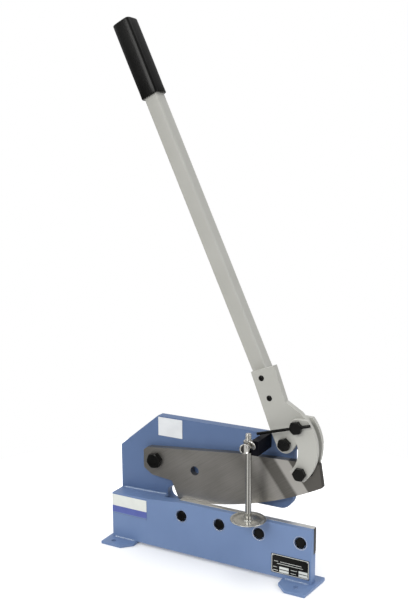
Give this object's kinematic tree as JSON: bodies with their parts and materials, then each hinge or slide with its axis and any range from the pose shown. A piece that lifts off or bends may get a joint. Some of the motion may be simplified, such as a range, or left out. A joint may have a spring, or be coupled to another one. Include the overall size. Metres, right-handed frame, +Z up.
{
  "type": "bench lever shear",
  "caption": "Bench lever shear for sheet metal: welded plate frame with a fixed lower blade, a pivoted upper blade pulled down by a long hand lever through two links, and a hold-down.",
  "frame": {"origin": "midway between the two bench bolt holes, on the underside of the feet", "axes": "+X along the base plate towards the lever and link end, +Y from the front face to the back, +Z up"},
  "size_m": [0.492, 0.1333, 1.1199],
  "materials": {
    "blue_paint": "semi gloss",
    "blade_steel": "ground",
    "black_steel": "black oxide",
    "zinc_steel": "satin",
    "bronze": "satin",
    "grey_paint": "semi gloss",
    "grip_black": "smooth",
    "nickel": "polished",
    "plate_black": "satin",
    "panel_white": "satin"
  },
  "bodies": {
    "frame": {"base_plate": "blue_paint", "spacer_block": "blue_paint", "c_frame": "blue_paint", "left_foot": "blue_paint", "right_foot": "blue_paint", "ledge_weld": "blue_paint", "foot_welds": "blue_paint", "lower_blade": "blade_steel", "lower_blade_bolts": "black_steel", "blade_pivot_bolt": "black_steel", "blade_pivot_washer": "zinc_steel", "blade_pivot_nut": "black_steel", "lever_pivot_bolt": "black_steel", "lever_pivot_washers": "zinc_steel", "lever_pivot_nut": "black_steel", "hold_down_bracket": "black_steel", "bracket_screws": "black_steel", "clamp_collar": "nickel", "rating_plate": "plate_black", "rating_rivets": "zinc_steel", "left_panel": "panel_white", "arm_panel": "panel_white"},
    "blade": {"upper_blade": "blade_steel", "blade_bush": "bronze"},
    "lever": {"lever_head": "grey_paint", "lever_bush": "bronze", "lever_tube": "grey_paint", "tube_bolts": "black_steel", "tube_nuts": "black_steel", "grip": "grip_black", "upper_link_bolt": "black_steel", "upper_link_nut": "black_steel"},
    "links": {"front_link": "grey_paint", "rear_link": "grey_paint", "lower_link_bolt": "black_steel", "lower_link_nut": "black_steel"},
    "hold_down": {"hold_down_rod": "nickel", "hold_down_disc": "nickel"},
    "wing": {"wing_screw": "nickel"},
    "lock": {"lock_rod": "black_steel"}
  },
  "joints": [
    {"name": "lever_turn", "type": "hinge", "parent": "frame", "child": "lever", "pos_m": [0.1707, 0.0506, 0.2761], "axis": [0, 1, 0], "range_deg": [0, 95]},
    {"name": "blade_turn", "type": "hinge", "parent": "frame", "child": "blade", "pos_m": [-0.1311, 0.0506, 0.1928], "axis": [0, 1, 0], "range_deg": [0, 12.45]},
    {"name": "links_turn", "type": "hinge", "parent": "lever", "child": "links", "pos_m": [0.1996, 0.0506, 0.3175], "axis": [0, 1, 0], "range_deg": [-88.35, 0]},
    {"name": "hold_down_slide", "type": "slide", "parent": "frame", "child": "hold_down", "axis": [0, 0, 1], "range_m": [0, 0.1]},
    {"name": "wing_turn", "type": "hinge", "parent": "frame", "child": "wing", "pos_m": [0.1164, -0.0097, 0.28], "axis": [-0.4226, 0.9063, 0], "range_deg": [-180, 180]},
    {"name": "lock_slide", "type": "slide", "parent": "lever", "child": "lock", "axis": [0.9613, 0, 0.2756], "range_m": [0, 0.05]}
  ],
  "couplings": [
    {"joint": "blade_turn", "follows": "lever_turn", "ratio": 0.131},
    {"joint": "links_turn", "follows": "lever_turn", "ratio": -0.93}
  ]
}
